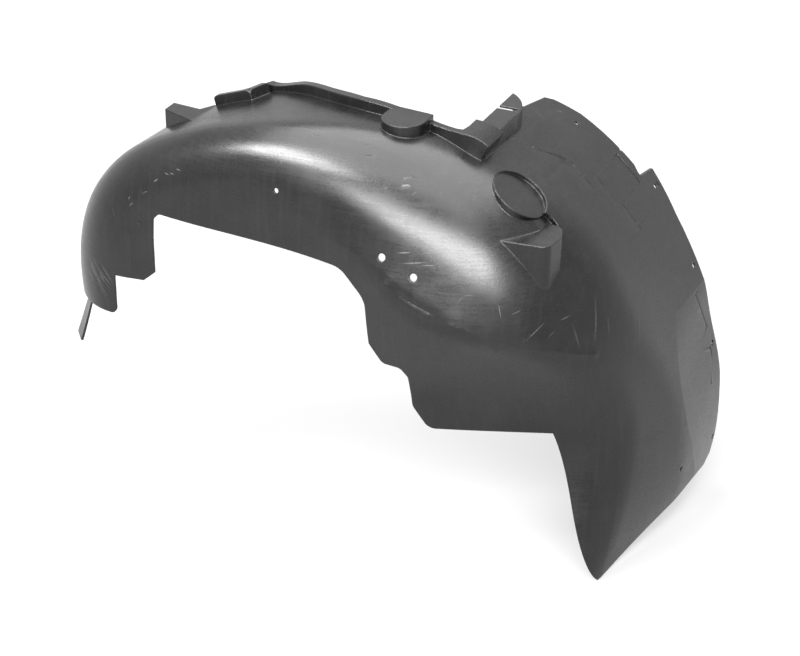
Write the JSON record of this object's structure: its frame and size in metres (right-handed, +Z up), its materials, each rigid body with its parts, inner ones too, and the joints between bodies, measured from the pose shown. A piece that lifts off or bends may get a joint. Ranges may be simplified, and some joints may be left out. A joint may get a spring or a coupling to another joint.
{
  "type": "wheel arch liner",
  "caption": "Moulded plastic liner for a front wheel arch, with a domed band over the wheel, an inner wall, a flanged front panel and a raised rim.",
  "frame": {"origin": "middle of the bounding box's underside", "axes": "+X forward along the car, +Y outboard, +Z up as fitted on the car"},
  "size_m": [0.8152, 0.3932, 0.5276],
  "materials": {
    "black_plastic": "satin moulded polypropylene"
  },
  "bodies": {
    "root": {"wheel_arch_liner": "black_plastic"}
  },
  "joints": []
}
